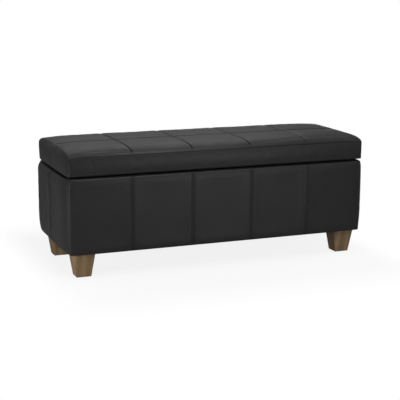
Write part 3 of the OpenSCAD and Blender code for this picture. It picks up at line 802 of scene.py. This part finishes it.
def stitches(name, lines, material):
    points, faces = [], []
    radius, length = leather["thread"], leather["stitch"] * leather["stitchShare"]
    # places along a stitch, and its width there
    profile = [(-0.5, 0.35), (-0.4, 0.8), (-0.2, 1), (0.2, 1), (0.4, 0.8), (0.5, 0.35)]
    sides = 6
    for line, normals in lines:
        steps = np.linalg.norm(np.diff(line, axis=0), axis=1)
        run = np.concatenate([[0], np.cumsum(steps)])
        lastMiddle = run[-1] - leather["stitch"] / 2
        for middle in np.arange(leather["stitch"], lastMiddle, leather["stitch"]):
            ends = [np.array([np.interp(middle + d, run, line[:, k]) for k in range(3)])
                    for d in (-length / 2, length / 2)]
            normal = np.array([np.interp(middle, run, normals[:, k]) for k in range(3)])
            along = ends[1] - ends[0]
            along /= np.linalg.norm(along)
            normal -= along * (normal @ along)
            normal /= np.linalg.norm(normal)
            across = np.cross(along, normal)
            centre = (ends[0] + ends[1]) / 2 + normal * radius * leather["proud"]
            first = len(points)
            for place, width in profile:
                for k in range(sides):
                    a = 2 * math.pi * k / sides
                    turn = across * math.cos(a) + normal * math.sin(a)
                    points.append(centre + along * place * length + turn * radius * width)
            for row in range(len(profile) - 1):
                for k in range(sides):
                    a, b = first + row * sides + k, first + row * sides + (k + 1) % sides
                    faces.append((a, a + sides, b + sides, b))
            last = first + (len(profile) - 1) * sides
            faces.append(tuple(range(first, first + sides)))
            faces.append(tuple(range(last, last + sides))[::-1])
    return makeObject(name, points, faces, [material])


outer = np.flatnonzero(section[:, 6] > 0.35)
bodyRows = []
for wall in halfLength:
    normals = normalsOf(wallGrid[wall])
    for seam in wallSeams[wall]:
        for side in (-1, 1):
            i = int(np.argmin(np.abs(wallU[wall] - seam - side * stitchRow)))
            bodyRows.append((wallGrid[wall][i, outer], normals[i, outer]))
lidRows = []
for side in (-1, 1):
    normals = normalsOf(bandPoints[side])
    j = int(np.argmin(np.abs(heights - (bandHeight - bandSewing["stitchesUnder"]))))
    lidRows.append((bandPoints[side][2:-2, j], normals[2:-2, j]))


# materials: leather first

leatherLook = {
    # seam is the painted shade colour, used where seamShade marks the seams' creases and grooves
    "dark": "#1b191b", "light": "#211f21", "seam": "#100f10",
    "grain": 0.0021,         # pebbles of the embossed grain: 1 mm on the real one, 2 mm to show
    "crease": 0.006,         # between the fine creases of the coating
    "mottle": 0.055,         # slow patches where it is stretched more or less
    "depth": 0.0006,
    "roughness": 0.42,
}


def leatherShader(tree, place, look):
    # polyurethane-coated leather, embossed and calendered: charcoal with a soft satin shine,
    # fine pebbles and a slow mottling where it is pulled tight, and painted shade in the
    # seams' creases and grooves: darker and less shiny where seamShade is high
    seam = addNode(tree, "Attribute", attribute_name="seamShade").outputs["Fac"]
    mottle = addNode(tree, "TexNoise", {"Vector": place, "Scale": 1 / look["mottle"],
                                        "Detail": 3.0, "Roughness": 0.55})
    pebble = addNode(tree, "TexVoronoi", {"Vector": place, "Scale": 1 / look["grain"]},
                     feature="SMOOTH_F1")
    crease = addNode(tree, "TexNoise", {"Vector": place, "Scale": 1 / look["crease"],
                                        "Detail": 4.0, "Distortion": 0.6})
    tone = addNode(tree, "Mix", {6: linear(look["dark"]), 7: linear(look["light"]),
                                 0: mottle.outputs["Fac"]}, data_type="RGBA")
    # painted shade: the colour goes darker where seamShade is high
    paintedSeamShade = addNode(tree, "Mix", {6: tone.outputs[2], 7: linear(look["seam"]), 0: seam},
                   data_type="RGBA")
    rough = addNode(tree, "MapRange", {"Value": mottle.outputs["Fac"],
                                       "From Min": 0.3, "From Max": 0.7,
                                       "To Min": look["roughness"] - 0.03,
                                       "To Max": look["roughness"] + 0.04})
    height = addNode(tree, "Math", {0: pebble.outputs["Distance"], 1: crease.outputs["Fac"]},
                     operation="ADD")
    bump = addNode(tree, "Bump", {"Height": height.outputs[0], "Strength": 0.22,
                                  "Distance": look["depth"]})
    # painted shade: the shine drops to a tenth where seamShade is full
    shine = addNode(tree, "MapRange", {"Value": seam, "To Min": 0.5, "To Max": 0.05})
    return addNode(tree, "BsdfPrincipled", {
        "Base Color": paintedSeamShade.outputs[2], "Roughness": rough.outputs[0], "Normal": bump.outputs[0],
        "IOR": 1.5, "Specular IOR Level": shine.outputs[0],
    })


threadLook = {
    "dark": "#232223", "light": "#343233",
    "twist": 0.0011,         # size of the wave: its bands, the plies, come out 0.7 mm apart
    "roughness": 0.5,
}


def threadShader(tree, place, look):
    # bonded polyester thread, twisted: near-black with a faint sheen
    twist = addNode(tree, "TexWave", {"Vector": place, "Scale": 1 / look["twist"],
                                      "Distortion": 1.5},
                    wave_type="BANDS", bands_direction="DIAGONAL")
    tone = addNode(tree, "Mix", {6: linear(look["dark"]), 7: linear(look["light"]),
                                 0: twist.outputs["Fac"]}, data_type="RGBA")
    bump = addNode(tree, "Bump", {"Height": twist.outputs["Fac"], "Strength": 0.3,
                                  "Distance": 0.0002})
    return addNode(tree, "BsdfPrincipled", {
        "Base Color": tone.outputs[2], "Normal": bump.outputs[0],
        "Roughness": look["roughness"], "Sheen Weight": 0.2,
    })


legLook = {
    "light": "#b79c74", "dark": "#8a7150", "pore": "#5a4630",
    "figure": 0.05985,       # size of the wave: its bands come out 38 mm apart along a face
    "cloud": 0.02,           # patches in the stain
    "poreWidth": 0.0016,     # open pores: 0.3 mm wide on the real one, drawn wider to show
    "roughness": 0.42,
}


def legShader(tree, place, look):
    # rubberwood, planed, stained grey-brown and sealed: straight upright grain with short
    # dark pores under a thin satin varnish
    upright = addNode(tree, "Mapping", {"Vector": place, "Scale": (1, 1, 0.09)}).outputs[0]
    figure = addNode(tree, "TexWave", {"Vector": upright, "Scale": 1 / look["figure"],
                                       "Distortion": 5.5, "Detail": 2.0, "Detail Scale": 1.4},
                     wave_type="BANDS", bands_direction="DIAGONAL")
    cloud = addNode(tree, "TexNoise", {"Vector": upright, "Scale": 1 / look["cloud"],
                                       "Detail": 3.0})
    poresPlace = addNode(tree, "Mapping", {"Vector": place, "Scale": (1, 1, 0.05)})
    pores = addNode(tree, "TexNoise", {"Vector": poresPlace.outputs[0],
                                       "Scale": 1 / look["poreWidth"], "Detail": 2.0})
    blend = addNode(tree, "Math", {0: figure.outputs["Fac"], 1: cloud.outputs["Fac"]},
                    operation="MULTIPLY")
    tone = addNode(tree, "Mix", {6: linear(look["dark"]), 7: linear(look["light"]),
                                 0: blend.outputs[0]}, data_type="RGBA")
    opened = addNode(tree, "MapRange", {"Value": pores.outputs["Fac"], "From Min": 0.56,
                                        "From Max": 0.7, "To Min": 0.0, "To Max": 0.55})
    full = addNode(tree, "Mix", {6: tone.outputs[2], 7: linear(look["pore"]),
                                 0: opened.outputs[0]}, data_type="RGBA")
    bump = addNode(tree, "Bump", {"Height": pores.outputs["Fac"], "Strength": 0.15,
                                  "Distance": 0.0004}, invert=True)
    return addNode(tree, "BsdfPrincipled", {
        "Base Color": full.outputs[2], "Normal": bump.outputs[0],
        "Roughness": look["roughness"], "IOR": 1.5,
    })


boardLook = {
    "dark": "#a98a5f", "light": "#c9ab7d",
    "figure": 0.018,         # width of the figure across the grain
    "roughness": 0.65,
}


def boardShader(tree, place, look):
    # plywood sheet, rotary cut: pale tan face with long soft figure
    along = addNode(tree, "Mapping", {"Vector": place, "Scale": (0.12, 1, 1)})
    figure = addNode(tree, "TexNoise", {"Vector": along.outputs[0],
                                        "Scale": 1 / look["figure"],
                                        "Detail": 4.0, "Distortion": 0.8})
    tone = addNode(tree, "Mix", {6: linear(look["dark"]), 7: linear(look["light"]),
                                 0: figure.outputs["Fac"]}, data_type="RGBA")
    bump = addNode(tree, "Bump", {"Height": figure.outputs["Fac"], "Strength": 0.2,
                                  "Distance": 0.0003})
    return addNode(tree, "BsdfPrincipled", {
        "Base Color": tone.outputs[2], "Normal": bump.outputs[0], "Roughness": look["roughness"],
    })


steelLook = {
    "dark": "#a9abad", "light": "#c2c3c2",
    "spangle": 0.007,        # size of the zinc's cloudy patches
    "drawnLines": 0.0009,    # rolling lines: 0.1 mm apart on the real one, drawn coarser to show
    "roughness": (0.26, 0.42),
}


def steelShader(tree, place, look):
    # mild steel, pressed and zinc plated: bright grey with faint cloudy spangle and fine lines
    cloud = addNode(tree, "TexNoise", {"Vector": place, "Scale": 1 / look["spangle"],
                                       "Detail": 3.0})
    lines = addNode(tree, "Mapping", {"Vector": place, "Scale": (0.06, 1, 1)})
    drawn = addNode(tree, "TexNoise", {"Vector": lines.outputs[0],
                                       "Scale": 1 / look["drawnLines"], "Detail": 2.0})
    tone = addNode(tree, "Mix", {6: linear(look["dark"]), 7: linear(look["light"]),
                                 0: cloud.outputs["Fac"]}, data_type="RGBA")
    rough = addNode(tree, "MapRange", {"Value": cloud.outputs["Fac"],
                                       "To Min": look["roughness"][0],
                                       "To Max": look["roughness"][1]})
    bump = addNode(tree, "Bump", {"Height": drawn.outputs["Fac"], "Strength": 0.08,
                                  "Distance": 0.0002})
    return addNode(tree, "BsdfPrincipled", {
        "Base Color": tone.outputs[2], "Roughness": rough.outputs[0], "Normal": bump.outputs[0],
        "Metallic": 1.0,
    })


liningLook = {
    "dark": "#1d1d1f", "light": "#2b2b2e",
    "fibre": 0.0015,         # fibres: 0.02 mm thick on the real one, drawn as tufts to show
    "dimple": 0.0028,        # pressed dots: 1 mm apart on the real one, drawn coarser to show
    "roughness": 0.85,
}


def liningShader(tree, place, look):
    # spun-bonded polypropylene, point bonded: matte black felt with a grid of pressed dimples
    fibres = addNode(tree, "TexNoise", {"Vector": place, "Scale": 1 / look["fibre"],
                                        "Detail": 5.0, "Distortion": 1.2})
    dots = addNode(tree, "TexVoronoi", {"Vector": place, "Scale": 1 / look["dimple"],
                                        "Randomness": 0.15})
    tone = addNode(tree, "Mix", {6: linear(look["dark"]), 7: linear(look["light"]),
                                 0: fibres.outputs["Fac"]}, data_type="RGBA")
    height = addNode(tree, "Math", {0: dots.outputs["Distance"], 1: fibres.outputs["Fac"]},
                     operation="ADD")
    bump = addNode(tree, "Bump", {"Height": height.outputs[0], "Strength": 0.5,
                                  "Distance": 0.0006})
    return addNode(tree, "BsdfPrincipled", {
        "Base Color": tone.outputs[2], "Normal": bump.outputs[0],
        "Roughness": look["roughness"], "Sheen Weight": 0.3, "Sheen Roughness": 0.5,
    })


# the spark-eroded grit is 0.1 mm on the real ones and is drawn at 1.2 mm to show
nylonLook = {"dark": "#18181a", "light": "#232326", "grit": 0.0012, "roughness": 0.45}
rubberLook = {"dark": "#0b0b0b", "light": "#141414", "grit": 0.0012, "roughness": 0.8}


def mouldedShader(tree, place, look):
    # moulded nylon or rubber with a fine spark-eroded texture: black, satin or dull
    grit = addNode(tree, "TexNoise", {"Vector": place, "Scale": 1 / look["grit"], "Detail": 3.0})
    tone = addNode(tree, "Mix", {6: linear(look["dark"]), 7: linear(look["light"]),
                                 0: grit.outputs["Fac"]}, data_type="RGBA")
    bump = addNode(tree, "Bump", {"Height": grit.outputs["Fac"], "Strength": 0.25,
                                  "Distance": 0.0002})
    return addNode(tree, "BsdfPrincipled", {
        "Base Color": tone.outputs[2], "Normal": bump.outputs[0],
        "Roughness": look["roughness"], "IOR": 1.49,
    })


coatedLeather = makeMaterial("coatedLeatherCharcoal", leatherShader, leatherLook)
thread = makeMaterial("polyesterThreadBlack", threadShader, threadLook)
finishes = {
    "stained_wood": makeMaterial("stainedRubberwood", legShader, legLook),
    "board": makeMaterial("plywoodPale", boardShader, boardLook),
    "steel": makeMaterial("zincPlatedSteel", steelShader, steelLook),
    "lining": makeMaterial("spunbondLiningBlack", liningShader, liningLook),
    "glide_plastic": makeMaterial("nylonGlideBlack", mouldedShader, nylonLook),
    "bumper_rubber": makeMaterial("rubberBumperBlack", mouldedShader, rubberLook),
}
print("materials made:", len(finishes) + 2)


def finishOf(node):
    if node.startswith("leg_") and node != "leg_bolts":
        return "stained_wood"
    if "panel" in node or node.startswith("post") or node == "lid_board":
        return "board"
    if "lining" in node or node == "dust_cover":
        return "lining"
    if node.startswith("glide"):
        return "glide_plastic"
    return "bumper_rubber" if node == "rim_bumpers" else "steel"


lidCushion = closeShell(lidShell, "lidCushion", [coatedLeather])
bodyCover = closeShell(bodyShell, "bodyCover", [coatedLeather])
lidThread = stitches("lidStitching", lidRows, thread)
bodyThread = stitches("bodyStitching", bodyRows, thread)

for piece, body in ((lidCushion, "lid"), (lidThread, "lid"),
                    (bodyCover, "box"), (bodyThread, "box")):
    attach(piece, body)
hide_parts("lid_cover", "lid_foam")
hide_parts("front_cover", "back_cover", "left_cover", "right_cover",
            "front_padding", "back_padding", "left_padding", "right_padding")

for name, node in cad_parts.items():
    if node.hide_render:
        continue
    for slot in node.material_slots:
        slot.material = finishes[finishOf(name)]
print("pieces are riding and finished")


# the studio: soft lights, plain pale floor, camera

bench = (0, 0, 0.25)
lamps = {
    # behind the bench: the sheen along the far half of the seat
    "backHigh": {"watts": 4.9, "at": (0.5, 2.2, 2.0), "size": (2.0, 1.2), "to": bench},
    # behind and under the seat's level: lights the back only
    "backLow": {"watts": 4.8, "at": (1.1, 2.0, 0.3), "size": (1.1, 0.3), "to": (0, 0.2, 0.25)},
    "overhead": {"watts": 6.1, "at": (0, -0.3, 1.7), "size": (0.9, 0.6), "to": (0, 0, 0.45)},
    # the main light, over the camera
    "frontHigh": {"watts": 22.0, "at": (0, -1.8, 2.4), "size": (2.4, 1.2), "to": bench},
    # close and low: the near half of the left end
    "leftStrip": {"watts": 2.5, "at": (-1.1, -0.42, 0.2), "size": (0.4, 0.1),
                  "to": (-0.6, -0.1, 0.12)},
    "right": {"watts": 26.5, "at": (3.0, 0, 1.2), "size": (1.5, 1.5), "to": bench},
    "frontRight": {"watts": 3.2, "at": (1.7, -3.4, 1.0), "size": (1.4, 1.2), "to": bench},
    # close and low: the soft glow in the middle of the front
    "frontStrip": {"watts": 1.7, "at": (0.35, -1.5, 0.25), "size": (0.9, 0.3),
                   "to": (0.1, 0, 0.25)},
}
studio = {
    "world": 0.152,
    "reflected": 0.1,        # how much of the white background shines back from a surface
    "shadow": 0.37,          # how much of the floor's own shading is seen, in each direction
    "shadowAlong": (0.58, 0.74),     # fading out between these, along the bench
    "shadowAcross": (0.42, 0.76),
}

for name, lamp in lamps.items():
    light = bpy.data.lights.new(name, "AREA")
    light.shape, light.size, light.size_y = "RECTANGLE", *lamp["size"]
    light.energy = lamp["watts"]
    softbox = bpy.data.objects.new(name, light)
    softbox.visible_camera = False
    softbox.location = lamp["at"]
    softbox.rotation_mode = "QUATERNION"
    towards = Vector(lamp["to"]) - Vector(lamp["at"])
    softbox.rotation_quaternion = towards.to_track_quat("-Z", "Y")
    bpy.context.scene.collection.objects.link(softbox)


def backgroundShare(tree):
    # 1 where the white background is seen straight or through glass, less in a reflection: the
    # whole of it would turn the dark leather grey
    path = addNode(tree, "LightPath").outputs
    straight = addNode(tree, "Math", {0: path["Is Camera Ray"], 1: path["Is Transmission Ray"]},
                       operation="MAXIMUM")
    mirrored = addNode(tree, "Math", {0: path["Is Glossy Ray"], 1: studio["reflected"]},
                       operation="MULTIPLY")
    return addNode(tree, "Math", {0: straight.outputs[0], 1: mirrored.outputs[0]},
                   operation="MAXIMUM").outputs[0]


world = bpy.data.worlds.new("studioWorld")
world.use_nodes = True
bpy.context.scene.world = world
tree = world.node_tree
tree.nodes.clear()
soft = addNode(tree, "Background", {"Color": linear("#eeeeee"), "Strength": studio["world"]})
white = addNode(tree, "Background", {"Color": (1, 1, 1, 1), "Strength": 1.0})
either = addNode(tree, "MixShader", {0: backgroundShare(tree), 1: soft.outputs[0],
                                     2: white.outputs[0]})
addNode(tree, "OutputWorld", {"Surface": either.outputs[0]})


def floorShader(tree, place, look):
    # seamless paper, matte: white to the camera, with the soft shadow kept near the bench
    axes = addNode(tree, "SeparateXYZ", {0: place}).outputs
    fades = []
    for axis, fade in ((0, look["shadowAlong"]), (1, look["shadowAcross"])):
        away = addNode(tree, "Math", {0: axes[axis]}, operation="ABSOLUTE")
        fades.append(addNode(tree, "MapRange", {"Value": away.outputs[0], "From Min": fade[0],
                                                "From Max": fade[1], "To Min": look["shadow"],
                                                "To Max": 0.0}, interpolation_type="SMOOTHSTEP"))
    near = addNode(tree, "Math", {0: fades[0].outputs[0], 1: fades[1].outputs[0]},
                   operation="MULTIPLY")
    paper = addNode(tree, "BsdfDiffuse", {"Color": linear("#f4f4f4")})
    glow = addNode(tree, "Emission", {"Color": (1, 1, 1, 1), "Strength": 1.0})
    shown = addNode(tree, "MixShader", {0: near.outputs[0], 1: glow.outputs[0],
                                        2: paper.outputs[0]})
    dim = addNode(tree, "BsdfDiffuse", {"Color": linear("#8a8a8a")})
    return addNode(tree, "MixShader", {0: backgroundShare(tree), 1: dim.outputs[0],
                                       2: shown.outputs[0]})


floorCorners = [(-9, -9, 0), (9, -9, 0), (9, 9, 0), (-9, 9, 0)]
paper = makeMaterial("seamlessPaperWhite", floorShader, studio)
floor = makeObject("studioFloor", floorCorners, [(0, 1, 2, 3)], [paper])

view = {"azimuth": -21.67, "elevation": 12.09, "distance": 4.27, "target": (-0.0025, 0, 0.2133),
        "lens": 96.46, "roll": 0.33}
turn, lift = math.radians(view["azimuth"]), math.radians(view["elevation"])
back = Vector((math.sin(turn) * math.cos(lift), -math.cos(turn) * math.cos(lift), math.sin(lift)))
roll = Quaternion((0, 0, 1), math.radians(view["roll"]))
camera = bpy.data.objects.new("camera", bpy.data.cameras.new("camera"))
camera.data.lens = view["lens"]
camera.location = Vector(view["target"]) + back * view["distance"]
camera.rotation_mode = "QUATERNION"
camera.rotation_quaternion = (-back).to_track_quat("-Z", "Y") @ roll
bpy.context.scene.collection.objects.link(camera)
bpy.context.scene.camera = camera
bpy.context.scene.view_settings.view_transform = "Standard"

print("studio lit by", len(lamps), "lamps")

print("scene ready")
